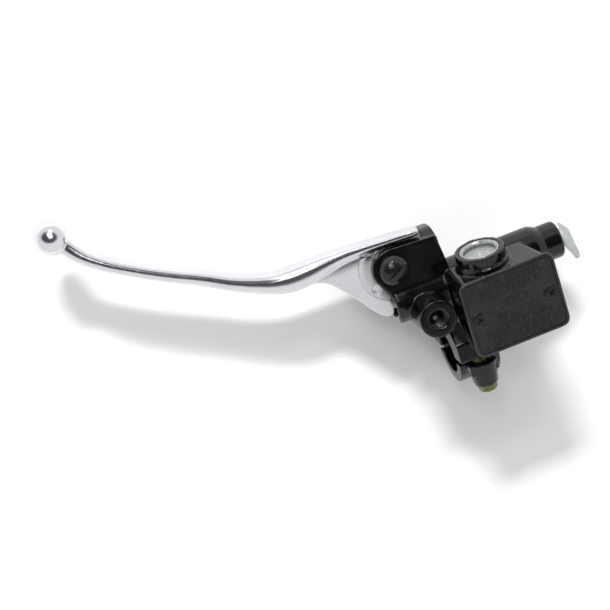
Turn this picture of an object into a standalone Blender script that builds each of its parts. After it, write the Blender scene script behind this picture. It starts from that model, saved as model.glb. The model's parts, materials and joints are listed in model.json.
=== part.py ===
"""Hydraulic brake master cylinder with its lever, for a 22.2 mm handlebar.

Row frame: the origin is the centre of the handlebar clamp bore, +X runs along the
handlebar towards the hose port, +Y points away from the handlebar, +Z is up.
Lengths below are millimetres; every mesh is brought to metres as it is built.
"""
import math

import bmesh
import bpy
from mathutils import Matrix, Vector

MM = 0.001
GAP = 0.3

# Handlebar clamp
BAR_R = 11.1
CLAMP_HALF_WIDTH = 10.6
CLAMP_RING_R = 16.4
CAP_FLANGE_HALF_WIDTH = 7.2
SPLIT_BODY_Y = -0.8
SPLIT_CAP_Y = -3.4
BOLT_Z = 16.6
BOLT_BOSS_R = 5.9
BOLT_BOSS_ROOT_R = 8.4
BOLT_BOSS_Y = -16.0
BOLT_R = 3.0
BOLT_TIP_Y = 6.2

# Cylinder barrel, along X
BARREL_Y = 34.4
BARREL_R = 11.3
BARREL_MOUTH_X = -30.0
BARREL_SHOULDER_X = 46.0
PORT_R = 9.4
PORT_FACE_X = 59.5
PORT_HOLE_R = 4.5
BORE_R = 6.5
COUNTERBORE_R = 8.5
COUNTERBORE_FLOOR_X = -12.0
BORE_END_X = 38.0

# Reservoir, above the barrel
RESERVOIR_X = (-2.8, 43.6)
RESERVOIR_Y = (4.4, 40.2)
RESERVOIR_Z = (8.5, 29.0)
RESERVOIR_END_TAPER = 3.9
RESERVOIR_FRONT_FLARE = 3.0
WELL_X = (7.0, 34.8)
WELL_Y = (9.2, 36.2)
WELL_FLOOR_Z = 13.5
COVER_X = (-4.0, 44.8)
COVER_Y = (2.8, 41.4)
COVER_Z = (30.6, 33.2)
COVER_CORNER_R = 4.0
SCREW_SPACING = 37.0
SCREW_Y = 21.4

# Level window on the front wall, tipped up
SIGHT_FACE = Vector((15.2, 50.0, 17.4))
SIGHT_TIP = math.radians(8)
SIGHT_AXIS = Vector((0, math.cos(SIGHT_TIP), math.sin(SIGHT_TIP)))
SIGHT_COLLAR_R = 12.2
SIGHT_SEAT_R = 9.9
SIGHT_SEAT_DEPTH = 5.5
SIGHT_WINDOW_R = 7.0

# Mirror boss
MIRROR = (-15.6, 27.6)
MIRROR_R = 9.2
MIRROR_FACE_Z = 27.0
MIRROR_HOLE_R = 4.5

# Lever and its bracket
PIVOT = (-25.7, 53.0)
EAR_R = 10.2
EAR_EDGE = 1.1
EAR_Z = 9.0
SLOT_Z = 4.3
TONGUE_Z = 3.9
HUB_R = 8.8
WEB_Z = 4.8
WEB_STEP_R = 16.4
MOUTH_SLOT_Z = 5.2
TONGUE_HOLE = (-35.4, 45.0)
TONGUE_HOLE_R = 2.2
STOP_FACE_X = -6.4
STOP_END_X = -0.4
BUSH_R = 5.2
PIVOT_R = 4.0
BALL = (-170.8, 124.6)
BALL_R = 8.4
PAD = (-32.0, BARREL_Y)
PAD_R = 2.6
PAD_HALF = 3.7
HEEL_END_X = -30.6
SLOT_TURN = math.radians(24)
SLOT_FLOOR_Z = 13.6

# Piston, along the barrel
PISTON_NOSE_X = -29.0
PISTON_R = 6.2
SPRING_R = 4.6
SPRING_WIRE_R = 0.45
SPRING_TURNS = 7
SPRING_X = (11.4, 37.4)

# Lever bar, from its end at the stop to the neck of the ball:
# centre x and y, half width in plan, half height
BAR_SECTIONS = (
    (-6.9, 65.0, 1.3, 3.6),
    (-8.2, 65.0, 2.0, 4.8),
    (-14.0, 65.2, 2.3, 5.2),
    (-25.0, 65.9, 2.6, 5.5),
    (-38.0, 66.6, 3.2, 5.9),
    (-48.0, 66.7, 4.1, 6.3),
    (-57.0, 65.9, 5.4, 6.7),
    (-66.0, 65.0, 6.5, 7.0),
    (-74.0, 65.0, 6.5, 7.0),
    (-81.0, 66.2, 5.7, 6.9),
    (-90.0, 69.5, 4.9, 6.8),
    (-99.0, 73.6, 4.4, 6.7),
    (-113.0, 81.6, 4.0, 6.6),
    (-127.0, 88.9, 3.8, 6.5),
    (-141.0, 97.0, 3.7, 6.4),
    (-154.0, 105.6, 3.7, 6.1),
    (-161.0, 111.6, 3.9, 5.5),
    (-165.6, 117.5, 4.2, 4.6),
    (-169.0, 122.2, 4.2, 4.2),
)

ALONG_X = Matrix(((0, 0, 1, 0), (1, 0, 0, 0), (0, 1, 0, 0), (0, 0, 0, 1)))


def clear_scene():
    for obj in list(bpy.data.objects):
        bpy.data.objects.remove(obj)


def new_collection(name):
    collection = bpy.data.collections.new(name)
    bpy.context.scene.collection.children.link(collection)
    return collection


def material(name, colour, roughness, metallic=0.0):
    made = bpy.data.materials.new(name)
    made.use_nodes = True
    shader = made.node_tree.nodes["Principled BSDF"]
    shader.inputs["Base Color"].default_value = (*colour, 1)
    shader.inputs["Roughness"].default_value = roughness
    shader.inputs["Metallic"].default_value = metallic
    return made


clear_scene()
PARTS = new_collection("brake_lever_assembly")
CUTTERS = new_collection("cutters")
CAST_BLACK = material("cast_black", (0.012, 0.012, 0.014), 0.25)
COVER_BLACK = material("cover_charcoal", (0.03, 0.03, 0.03), 0.6)
ALUMINIUM = material("lever_aluminium", (0.8, 0.8, 0.8), 0.3, 1.0)
STEEL = material("plated_steel", (0.6, 0.6, 0.6), 0.35, 1.0)
BLACK_STEEL = material("black_steel", (0.02, 0.02, 0.025), 0.3, 0.6)
OLIVE_STEEL = material("olive_steel", (0.13, 0.14, 0.06), 0.45, 0.8)
RUBBER = material("seal_rubber", (0.02, 0.02, 0.02), 0.8)
CLEAR = material("clear_plastic", (0.8, 0.85, 0.85), 0.1)
NYLON = material("natural_nylon", (0.75, 0.72, 0.62), 0.5)
BRONZE = material("bronze", (0.5, 0.33, 0.15), 0.4, 1.0)


def turn_to(direction):
    """A rotation that takes +Z to the direction."""
    return Vector(direction).to_track_quat("Z", "Y").to_matrix().to_4x4()


def make_object(name, mesh, collection, origin=(0, 0, 0)):
    """An object in metres from a mesh in millimetres, with its origin at a point."""
    mesh.transform(Matrix.Scale(MM, 4) @ Matrix.Translation(-Vector(origin)))
    obj = bpy.data.objects.new(name, mesh)
    obj.location = Vector(origin) * MM
    collection.objects.link(obj)
    return obj


def finish_part(obj, colour):
    obj.data.materials.clear()
    obj.data.materials.append(colour)
    obj.data.shade_smooth()
    obj.data.set_sharp_from_angle(angle=math.radians(35))
    return obj


def mesh_from(bm, name):
    mesh = bpy.data.meshes.new(name)
    bm.to_mesh(mesh)
    bm.free()
    return mesh


def rod(name, radius, start, end, sides=32, end_radius=None):
    """A round bar or cone between two points."""
    start = Vector(start)
    end = Vector(end)
    bm = bmesh.new()
    bmesh.ops.create_cone(
        bm,
        cap_ends=True,
        segments=sides,
        radius1=radius,
        radius2=radius if end_radius is None else end_radius,
        depth=(end - start).length,
        matrix=Matrix.Translation((start + end) / 2) @ turn_to(end - start),
    )
    return mesh_from(bm, name)


def block(name, low, high):
    low = Vector(low)
    high = Vector(high)
    size = Matrix.Diagonal((*(high - low), 1))
    bm = bmesh.new()
    bmesh.ops.create_cube(bm, size=1, matrix=Matrix.Translation((low + high) / 2) @ size)
    return mesh_from(bm, name)


def slab(name, outline, low, high, turn=None):
    """A flat outline given thickness from low to high along its own third axis."""
    curve = bpy.data.curves.new(name, "CURVE")
    curve.dimensions = "2D"
    curve.fill_mode = "BOTH"
    curve.extrude = (high - low) / 2
    spline = curve.splines.new("POLY")
    spline.points.add(len(outline) - 1)
    for point, (x, y) in zip(spline.points, outline):
        point.co = (x, y, 0, 1)
    spline.use_cyclic_u = True
    holder = bpy.data.objects.new(name, curve)
    bpy.context.scene.collection.objects.link(holder)
    graph = bpy.context.evaluated_depsgraph_get()
    mesh = bpy.data.meshes.new_from_object(holder.evaluated_get(graph))
    bpy.data.objects.remove(holder)
    bm = bmesh.new()
    bm.from_mesh(mesh)
    bmesh.ops.remove_doubles(bm, verts=bm.verts, dist=0.0001)
    bmesh.ops.recalc_face_normals(bm, faces=bm.faces)
    bm.to_mesh(mesh)
    bm.free()
    mesh.transform(Matrix.Translation((0, 0, (low + high) / 2)))
    if turn:
        mesh.transform(turn)
    return mesh


def arc(centre, radius, start, end, count):
    """Points on an arc, angles in degrees."""
    points = []
    for i in range(count + 1):
        angle = math.radians(start + (end - start) * i / count)
        points.append((centre[0] + radius * math.cos(angle), centre[1] + radius * math.sin(angle)))
    return points


def rounded_rectangle(x, y, radius, count=4):
    corners = ((x[1], y[1], 0), (x[0], y[1], 90), (x[0], y[0], 180), (x[1], y[0], 270))
    outline = []
    for corner_x, corner_y, angle in corners:
        inward_x = radius if corner_x == x[0] else -radius
        inward_y = radius if corner_y == y[0] else -radius
        centre = (corner_x + inward_x, corner_y + inward_y)
        outline += arc(centre, radius, angle, angle + 90, count)
    return outline


def turned(name, profile, base, axis, collection, steps=32):
    """A turned piece: the profile holds (height along the axis, radius), from the far end back."""
    mesh = bpy.data.meshes.new(name)
    points = [(radius * MM, 0, height * MM) for height, radius in profile]
    closed = profile[0][1] > 0
    count = len(points)
    edges = [(i, (i + 1) % count) for i in range(count if closed else count - 1)]
    mesh.from_pydata(points, edges, [])
    obj = bpy.data.objects.new(name, mesh)
    obj.matrix_world = Matrix.Translation(Vector(base) * MM) @ turn_to(axis)
    collection.objects.link(obj)
    screw = obj.modifiers.new("turn", "SCREW")
    screw.steps = steps
    screw.render_steps = steps
    screw.use_merge_vertices = True
    screw.merge_threshold = 0.00001
    screw.use_smooth_shade = True
    return obj


def barrel_piece(name, profile, colour, steps=32):
    """A turned piece on the barrel axis; heights are world X."""
    obj = turned(name, profile, (0, BARREL_Y, 0), (1, 0, 0), PARTS, steps)
    obj.data.materials.append(colour)
    return obj


def hidden(obj):
    obj.hide_render = True
    obj.display_type = "WIRE"
    return obj


def helper(mesh):
    return hidden(make_object(mesh.name, mesh, CUTTERS))


def combine(obj, operation, tools):
    for tool in tools:
        step = obj.modifiers.new(tool.name, "BOOLEAN")
        step.operation = operation
        step.solver = "EXACT"
        step.object = tool


def sight_point(height):
    return SIGHT_FACE + SIGHT_AXIS * height


def reservoir_shape():
    """The cast reservoir: narrower at its port end below, wider at its front below."""
    mesh = slab("reservoir", rounded_rectangle(RESERVOIR_X, RESERVOIR_Y, 3.6), *RESERVOIR_Z)
    depth = RESERVOIR_Z[1] - RESERVOIR_Z[0]
    for vertex in mesh.vertices:
        low = (RESERVOIR_Z[1] - vertex.co.z) / depth
        if vertex.co.x > sum(RESERVOIR_X) / 2:
            vertex.co.x -= RESERVOIR_END_TAPER * low
        if vertex.co.y > sum(RESERVOIR_Y) / 2:
            vertex.co.y += RESERVOIR_FRONT_FLARE * low
    return helper(mesh)


def bracket_outline():
    ear = arc(PIVOT, EAR_R, 90, 200, 8)
    return ear + [(-31.6, 42.5), (-29.4, 38.0), (-29.4, BARREL_Y), (0.6, BARREL_Y), (0.9, 45.0), (-1.0, 61.6)]


def bracket_shape():
    """The block that both ears are cut from, with its long edges eased."""
    bracket = helper(slab("bracket", bracket_outline(), -EAR_Z, EAR_Z))
    edge = bracket.modifiers.new("edge", "BEVEL")
    edge.width = EAR_EDGE * MM
    edge.segments = 2
    edge.limit_method = "ANGLE"
    edge.angle_limit = math.radians(60)
    return bracket


def stop_outline():
    """The lever's stop, sloping down from the bracket's face, as Y and Z."""
    return [(54.0, -8.7), (64.2, -8.7), (64.4, -1.0), (63.8, 2.0), (60.6, 8.2), (54.0, 8.2)]


def slot_outline():
    """The room for the lever's tongue, from the barrel mouth up past the pivot."""
    hub_side = arc(PIVOT, HUB_R + 0.9, -75, 70, 8)
    return [(-45.0, 70.0), (-45.0, 20.0), (-18.5, 20.0), (-18.5, 41.0)] + hub_side + [(-22.3, 70.0)]


def neck_outline():
    """Clamp saddle and neck, as Y and Z."""
    top = [(SPLIT_BODY_Y, 21.6), (9.0, 21.6), (18.0, 14.0), (30.0, 9.5)]
    return top + [(y, -z) for y, z in reversed(top)]


def make_body():
    body = barrel_piece(
        "master_cylinder_body",
        [
            (PORT_FACE_X, 0),
            (PORT_FACE_X, PORT_R - 0.9),
            (PORT_FACE_X - 0.9, PORT_R),
            (50.0, PORT_R),
            (49.2, PORT_R + 0.6),
            (BARREL_SHOULDER_X + 1.4, BARREL_R - 0.5),
            (BARREL_SHOULDER_X, BARREL_R),
            (BARREL_MOUTH_X + 0.9, BARREL_R),
            (BARREL_MOUTH_X, BARREL_R - 0.9),
            (BARREL_MOUTH_X, 0),
        ],
        CAST_BLACK,
        40,
    )
    added = [
        reservoir_shape(),
        bracket_shape(),
        helper(slab("stop", stop_outline(), STOP_FACE_X, STOP_END_X, ALONG_X)),
        helper(slab("neck", neck_outline(), -CLAMP_HALF_WIDTH, CLAMP_HALF_WIDTH, ALONG_X)),
        helper(rod("mirror_boss", MIRROR_R, (*MIRROR, 4.0), (*MIRROR, MIRROR_FACE_Z), 40)),
        helper(rod("sight_collar", SIGHT_COLLAR_R, sight_point(-12), SIGHT_FACE, 40)),
        helper(rod("sight_flange", SIGHT_COLLAR_R + 0.9, sight_point(-12), sight_point(-5.6), 40)),
    ]
    combine(body, "UNION", added)
    bolt_holes = [
        helper(rod("bolt_hole", BOLT_R + GAP, (0, -4, z), (0, BOLT_TIP_Y + 0.8, z), 20))
        for z in (BOLT_Z, -BOLT_Z)
    ]
    screw_holes = [
        helper(rod("screw_hole", 2.2, (x, SCREW_Y, 20.4), (x, SCREW_Y, 31), 16))
        for x in screw_places()
    ]
    bore = hidden(
        turned(
            "bore",
            [
                (PORT_FACE_X + 2, 0),
                (PORT_FACE_X + 2, PORT_HOLE_R),
                (46.5, PORT_HOLE_R),
                (45.0, 2.0),
                (BORE_END_X, 2.0),
                (BORE_END_X, BORE_R),
                (COUNTERBORE_FLOOR_X, BORE_R),
                (COUNTERBORE_FLOOR_X, COUNTERBORE_R),
                (-14.0, COUNTERBORE_R),
                (-14.0, COUNTERBORE_R + 0.7),
                (-15.4, COUNTERBORE_R + 0.7),
                (-15.4, COUNTERBORE_R),
                (BARREL_MOUTH_X - 4, COUNTERBORE_R),
                (BARREL_MOUTH_X - 4, 0),
            ],
            (0, BARREL_Y, 0),
            (1, 0, 0),
            CUTTERS,
            40,
        )
    )
    well_low = (WELL_X[0], WELL_Y[0], WELL_FLOOR_Z)
    removed = [
        bore,
        helper(slab("tongue_slot", slot_outline(), -SLOT_Z, SLOT_Z)),
        helper(block("heel_slot", (-45, 20, -MOUTH_SLOT_Z), (-19.2, 38.4, MOUTH_SLOT_Z))),
        helper(rod("pivot_hole", PIVOT_R + GAP, (*PIVOT, -12), (*PIVOT, 12), 24)),
        helper(block("well", well_low, (WELL_X[1], WELL_Y[1], 32))),
        helper(rod("supply_port", 1.5, (20, BARREL_Y, 2), (20, BARREL_Y, 15), 12)),
        helper(rod("sight_seat", SIGHT_SEAT_R, sight_point(-SIGHT_SEAT_DEPTH), sight_point(2), 40)),
        helper(rod("sight_window", SIGHT_WINDOW_R, sight_point(-16.5), sight_point(-4), 32)),
        helper(rod("mirror_hole", MIRROR_HOLE_R, (*MIRROR, 13.5), (*MIRROR, 30), 32)),
        helper(rod("bar", BAR_R, (-20, 0, 0), (50, 0, 0), 48)),
    ]
    combine(body, "DIFFERENCE", removed + bolt_holes + screw_holes)
    return body


def screw_places():
    middle = sum(COVER_X) / 2
    return (middle - SCREW_SPACING / 2, middle + SCREW_SPACING / 2)


def make_cover():
    outline = rounded_rectangle(COVER_X, COVER_Y, COVER_CORNER_R, 6)
    cover = make_object("reservoir_cover", slab("cover", outline, *COVER_Z), PARTS)
    edge = cover.modifiers.new("edge", "BEVEL")
    edge.width = 0.6 * MM
    edge.segments = 2
    edge.limit_method = "ANGLE"
    edge.angle_limit = math.radians(60)
    pocket = helper(block("pocket", (4.4, 8.0, 28), (36.4, 37.4, 31.9)))
    countersinks = []
    for x in screw_places():
        sink = rod("countersink", 2.3, (x, SCREW_Y, 30.9), (x, SCREW_Y, 33.6), 24, 4.9)
        countersinks.append(helper(sink))
        countersinks.append(helper(rod("clearance", 2.3, (x, SCREW_Y, 29), (x, SCREW_Y, 31.6), 24)))
    combine(cover, "DIFFERENCE", [pocket] + countersinks)
    finish_part(cover, COVER_BLACK)


def make_cover_screws():
    for side, x in zip(("left", "right"), screw_places()):
        screw = turned(
            f"cover_screw_{side}",
            [(33.2, 0), (33.2, 4.1), (32.9, 4.1), (30.9, 2.0), (21.4, 2.0), (20.9, 1.5), (20.9, 0)],
            (x, SCREW_Y, 0),
            (0, 0, 1),
            PARTS,
            24,
        )
        screw.data.materials.append(BLACK_STEEL)
        middle = Vector((x, SCREW_Y, 0))
        arms = []
        for half in ((2.3, 0.45), (0.45, 2.3)):
            low = middle + Vector((-half[0], -half[1], 31.8))
            high = middle + Vector((half[0], half[1], 34))
            arms.append(helper(block("recess", low, high)))
        combine(screw, "DIFFERENCE", arms)


def make_diaphragm():
    flange = rounded_rectangle((-0.9, 42.7), (6.9, 38.7), 3.0)
    diaphragm = make_object("reservoir_diaphragm", slab("diaphragm", flange, 29.3, 30.3), PARTS)
    cup = helper(block("cup", (7.6, 9.8, 23.0), (34.2, 35.6, 29.8)))
    hollow = helper(block("cup_inside", (8.6, 10.8, 24.0), (33.2, 34.6, 32)))
    combine(diaphragm, "UNION", [cup])
    holes = [
        helper(rod("flange_hole", 2.4, (x, SCREW_Y, 28), (x, SCREW_Y, 32), 16))
        for x in screw_places()
    ]
    combine(diaphragm, "DIFFERENCE", [hollow] + holes)
    finish_part(diaphragm, RUBBER)


def make_diaphragm_plate():
    outline = rounded_rectangle((5.0, 35.8), (8.6, 36.8), 2.0)
    plate = make_object("diaphragm_plate", slab("plate", outline, 30.6, 31.5), PARTS)
    vent = helper(rod("vent", 1.5, (21, 22, 29), (21, 22, 33), 12))
    combine(plate, "DIFFERENCE", [vent])
    finish_part(plate, STEEL)


def make_splash_plate():
    """The small plate over the supply port on the reservoir floor."""
    outline = rounded_rectangle((14, 26), (29.4, 35.6), 1.5)
    plate = make_object("splash_plate", slab("splash", outline, 13.8, 14.6), PARTS)
    combine(plate, "DIFFERENCE", [helper(rod("splash_hole", 1.0, (24, 32, 12), (24, 32, 17), 12))])
    finish_part(plate, STEEL)


def make_sight_glass():
    pieces = (
        ("sight_glass_bezel", [(-0.2, 8.1), (-0.2, 9.6), (-2.0, 9.6), (-2.0, 8.1)], STEEL),
        ("sight_glass_lens", [(-2.3, 0), (-2.3, 9.5), (-4.0, 9.5), (-4.0, 0)], CLEAR),
        ("sight_glass_seal", [(-4.3, 8.3), (-4.3, 9.4), (-5.2, 9.4), (-5.2, 8.3)], RUBBER),
        (
            "level_reflector",
            [(-6.4, 0), (-6.4, 2.0), (-8.6, 2.6), (-8.6, 5.6)]
            + [(-4.4, 5.6), (-4.4, 6.6), (-9.6, 6.6), (-9.6, 0)],
            STEEL,
        ),
    )
    for name, profile, colour in pieces:
        piece = turned(name, profile, SIGHT_FACE, SIGHT_AXIS, PARTS, 32)
        piece.data.materials.append(colour)


def make_clamp_cap():
    edge = math.degrees(math.acos(SPLIT_CAP_Y / CLAMP_RING_R))
    ring = arc((0, 0), CLAMP_RING_R, edge, 360 - edge, 20)
    cap = make_object(
        "handlebar_clamp_cap",
        slab("ring", ring, -CLAMP_HALF_WIDTH, CLAMP_HALF_WIDTH, ALONG_X),
        PARTS,
    )
    flange_low = (-CAP_FLANGE_HALF_WIDTH, -9.4, -21.5)
    flange_high = (CAP_FLANGE_HALF_WIDTH, SPLIT_CAP_Y - 0.02, 21.5)
    added = [helper(block("flange", flange_low, flange_high))]
    removed = [helper(rod("bar_in_cap", BAR_R, (-20, 0, 0), (20, 0, 0), 48))]
    for z in (BOLT_Z, -BOLT_Z):
        boss = rod("bolt_boss", BOLT_BOSS_R, (0, BOLT_BOSS_Y, z), (0, -3.7, z), 28, BOLT_BOSS_ROOT_R)
        added.append(helper(boss))
        removed.append(helper(rod("cap_hole", BOLT_R + GAP, (0, -25, z), (0, 2, z), 20)))
    combine(cap, "UNION", added)
    combine(cap, "DIFFERENCE", removed)
    finish_part(cap, CAST_BLACK)


def make_clamp_bolts():
    for place, z in (("upper", BOLT_Z), ("lower", -BOLT_Z)):
        head_y = -(BOLT_BOSS_Y - GAP)
        bolt = turned(
            f"clamp_bolt_{place}",
            [
                (head_y + 4.2, 0),
                (head_y + 4.0, 2.4),
                (head_y + 3.2, 4.0),
                (head_y + 1.4, 4.9),
                (head_y + 1.2, 5.2),
                (head_y, 5.2),
                (head_y, BOLT_R),
                (-BOLT_TIP_Y + 0.6, BOLT_R),
                (-BOLT_TIP_Y, BOLT_R - 0.6),
                (-BOLT_TIP_Y, 0),
            ],
            (0, 0, z),
            (0, -1, 0),
            PARTS,
            24,
        )
        bolt.data.materials.append(OLIVE_STEEL)
        socket = helper(rod("socket", 2.5, (0, -head_y - 2.0, z), (0, -head_y - 6, z), 6))
        combine(bolt, "DIFFERENCE", [socket])


def bar_mesh():
    """The lever's bar as a loft of rounded sections square to its centre line."""
    sides = 20
    squareness = 0.82
    bm = bmesh.new()
    rings = []
    for i, (x, y, half_width, half_height) in enumerate(BAR_SECTIONS):
        before = BAR_SECTIONS[max(i - 1, 0)]
        after = BAR_SECTIONS[min(i + 1, len(BAR_SECTIONS) - 1)]
        along = Vector((after[0] - before[0], after[1] - before[1])).normalized()
        ring = []
        for k in range(sides):
            angle = 2 * math.pi * k / sides
            across = math.copysign(abs(math.cos(angle)) ** squareness, math.cos(angle)) * half_width
            up = math.copysign(abs(math.sin(angle)) ** squareness, math.sin(angle)) * half_height
            ring.append(bm.verts.new((x - along.y * across, y + along.x * across, up)))
        rings.append(ring)
    for first, second in zip(rings, rings[1:]):
        for k in range(sides):
            bm.faces.new((first[k], first[(k + 1) % sides], second[(k + 1) % sides], second[k]))
    bm.faces.new(rings[0])
    bm.faces.new(rings[-1])
    bmesh.ops.recalc_face_normals(bm, faces=bm.faces)
    return mesh_from(bm, "bar")


def ball_mesh():
    bm = bmesh.new()
    place = Matrix.Translation((*BALL, 0))
    bmesh.ops.create_uvsphere(bm, u_segments=24, v_segments=14, radius=BALL_R, matrix=place)
    return mesh_from(bm, "ball")


def web_outline():
    """The flat web between the bar and the heel, ended by the step round the bracket's ear."""
    step = arc(PIVOT, WEB_STEP_R, 130, 246, 14)
    heel = [(HEEL_END_X, 37.6), (HEEL_END_X, 31.8), (-31.8, 30.2), (-35.2, 30.4)]
    lower_edge = [(-39.6, 34.4), (-45.2, 42.4), (-52.6, 52.0), (-58.4, 58.0), (-66.0, 59.6)]
    return step + heel + lower_edge + [(-66.0, 66.0), (-48.0, 67.0)]


def tongue_outline():
    """The thin tongue that sits between the ears and carries the pivot."""
    hub = arc(PIVOT, HUB_R, -100, 75, 10)
    left_side = [(-23.4, 65.0), (-39.0, 66.0), (-45.0, 62.0), (-45.0, 46.0), (-40.0, 38.0)]
    return [(-34.0, 32.0), (-31.0, 32.0), (-30.4, 38.5)] + hub + left_side


def make_lever():
    web = slab("web", web_outline(), -WEB_Z, WEB_Z)
    lever = make_object("brake_lever", web, PARTS, (*PIVOT, 0))
    added = [
        helper(slab("tongue", tongue_outline(), -TONGUE_Z, TONGUE_Z)),
        helper(bar_mesh()),
        helper(ball_mesh()),
    ]
    combine(lever, "UNION", added)
    removed = [
        helper(rod("bush_hole", BUSH_R + GAP, (*PIVOT, -8), (*PIVOT, 8), 28)),
        helper(rod("pad_pocket", PAD_R + GAP, (*PAD, -PAD_HALF - GAP), (*PAD, PAD_HALF + GAP), 20)),
        helper(rod("tongue_hole", TONGUE_HOLE_R, (*TONGUE_HOLE, -8), (*TONGUE_HOLE, 8), 20)),
    ]
    combine(lever, "DIFFERENCE", removed)
    finish_part(lever, ALUMINIUM)


def make_pusher_pad():
    pad_mesh = rod("pad", PAD_R, (*PAD, -PAD_HALF), (*PAD, PAD_HALF), 20)
    pad = make_object("lever_pusher_pad", pad_mesh, PARTS, (*PIVOT, 0))
    finish_part(pad, NYLON)


def make_pivot():
    bush = turned(
        "pivot_bush",
        [(3.6, PIVOT_R + GAP), (3.6, BUSH_R), (-3.6, BUSH_R), (-3.6, PIVOT_R + GAP)],
        (*PIVOT, 0),
        (0, 0, 1),
        PARTS,
        24,
    )
    bush.data.materials.append(BRONZE)
    screw = turned(
        "pivot_screw",
        [
            (15.0, 0),
            (14.8, 2.6),
            (14.0, 4.9),
            (12.6, 6.7),
            (11.0, 7.4),
            (9.3, 7.4),
            (9.3, PIVOT_R),
            (-15.0, PIVOT_R),
            (-15.6, PIVOT_R - 0.6),
            (-15.6, 0),
        ],
        (*PIVOT, 0),
        (0, 0, 1),
        PARTS,
        28,
    )
    screw.data.materials.append(BLACK_STEEL)
    slot = block("driver_slot", (-9, -0.7, SLOT_FLOOR_Z), (9, 0.7, 17))
    slot.transform(Matrix.Translation((*PIVOT, 0)) @ Matrix.Rotation(SLOT_TURN, 4, "Z"))
    combine(screw, "DIFFERENCE", [helper(slot)])
    nut = make_object("pivot_nut", rod("nut", 7.2, (*PIVOT, -9.3), (*PIVOT, -14.3), 6), PARTS)
    nut_hole = helper(rod("nut_hole", PIVOT_R + GAP, (*PIVOT, -18), (*PIVOT, -7), 24))
    combine(nut, "DIFFERENCE", [nut_hole])
    finish_part(nut, STEEL)


def make_piston_group():
    barrel_piece(
        "piston",
        [
            (11.0, 0),
            (11.0, 2.2),
            (10.6, 2.6),
            (6.3, 2.6),
            (6.3, PISTON_R),
            (4.5, PISTON_R),
            (4.5, 4.0),
            (-3.5, 4.0),
            (-3.5, PISTON_R),
            (-5.3, PISTON_R),
            (-5.3, 4.6),
            (-8.3, 4.6),
            (-8.3, PISTON_R),
            (-11.5, PISTON_R),
            (-11.5, 3.6),
            (PISTON_NOSE_X + 1, 3.6),
            (PISTON_NOSE_X, 2.6),
            (PISTON_NOSE_X, 0),
        ],
        STEEL,
        28,
    )
    barrel_piece("primary_cup", [(9.2, 4.6), (9.2, 6.2), (6.6, 6.0), (6.6, 2.9), (7.6, 2.9)], RUBBER, 28)
    barrel_piece("secondary_cup", [(-5.6, 4.9), (-5.6, 6.2), (-8.0, 6.0), (-8.0, 4.9)], RUBBER, 28)
    barrel_piece("spring_seat", [(10.4, 2.9), (10.4, 5.7), (9.5, 5.7), (9.5, 2.9)], STEEL, 28)
    barrel_piece("piston_stop_washer", [(-12.3, 4.0), (-12.3, 8.2), (-13.4, 8.2), (-13.4, 4.0)], STEEL, 28)
    clip = barrel_piece("circlip", [(-14.2, 6.6), (-14.2, 8.9), (-15.2, 8.9), (-15.2, 6.6)], STEEL, 32)
    opening = helper(block("clip_opening", (-16, BARREL_Y - 2.2, -10), (-13, BARREL_Y + 2.2, -4)))
    combine(clip, "DIFFERENCE", [opening])
    barrel_piece(
        "dust_boot",
        [
            (-15.8, 6.8),
            (-15.8, 8.2),
            (-18.2, 8.2),
            (-18.8, 6.6),
            (-19.6, 5.6),
            (-21.4, 5.2),
            (-21.4, 3.9),
            (-19.8, 3.9),
            (-18.2, 5.0),
            (-17.2, 6.4),
        ],
        RUBBER,
        28,
    )


def make_return_spring():
    per_turn = 12
    count = SPRING_TURNS * per_turn + 1
    length = SPRING_X[1] - SPRING_X[0] - 2 * SPRING_WIRE_R
    curve = bpy.data.curves.new("return_spring", "CURVE")
    curve.dimensions = "3D"
    curve.bevel_depth = SPRING_WIRE_R * MM
    curve.bevel_resolution = 2
    curve.use_fill_caps = True
    spline = curve.splines.new("POLY")
    spline.points.add(count - 1)
    for i, point in enumerate(spline.points):
        angle = 2 * math.pi * i / per_turn
        x = SPRING_X[0] + SPRING_WIRE_R + length * i / (count - 1)
        y = BARREL_Y + SPRING_R * math.cos(angle)
        point.co = (x * MM, y * MM, SPRING_R * math.sin(angle) * MM, 1)
    spring = bpy.data.objects.new("return_spring", curve)
    spring.data.materials.append(STEEL)
    PARTS.objects.link(spring)


def make_port_plug():
    """The shipping plug in the hose port, with its flat pull tab."""
    plug = barrel_piece(
        "hose_port_plug",
        [(62.2, 0), (62.2, 3.9), (61.9, 4.2), (52.0, 4.2), (51.0, 3.4), (51.0, 0)],
        CLEAR,
        28,
    )
    tab = [(61.8, 42.6), (66.4, 36.8), (68.4, 22.0), (66.6, 20.4), (61.8, 30.0)]
    combine(plug, "UNION", [helper(slab("pull_tab", tab, -0.6, 0.6))])


make_body()
make_cover()
make_cover_screws()
make_diaphragm()
make_diaphragm_plate()
make_splash_plate()
make_sight_glass()
make_clamp_cap()
make_clamp_bolts()
make_lever()
make_pusher_pad()
make_pivot()
make_piston_group()
make_return_spring()
make_port_plug()
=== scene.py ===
"""The finished look of the brake lever and master cylinder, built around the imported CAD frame.

Lengths in this script are millimetres in the row frame; MM brings them to metres.
"""

import json
import math

import bmesh
import bpy
import numpy as np
from mathutils import Matrix, Vector


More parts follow.
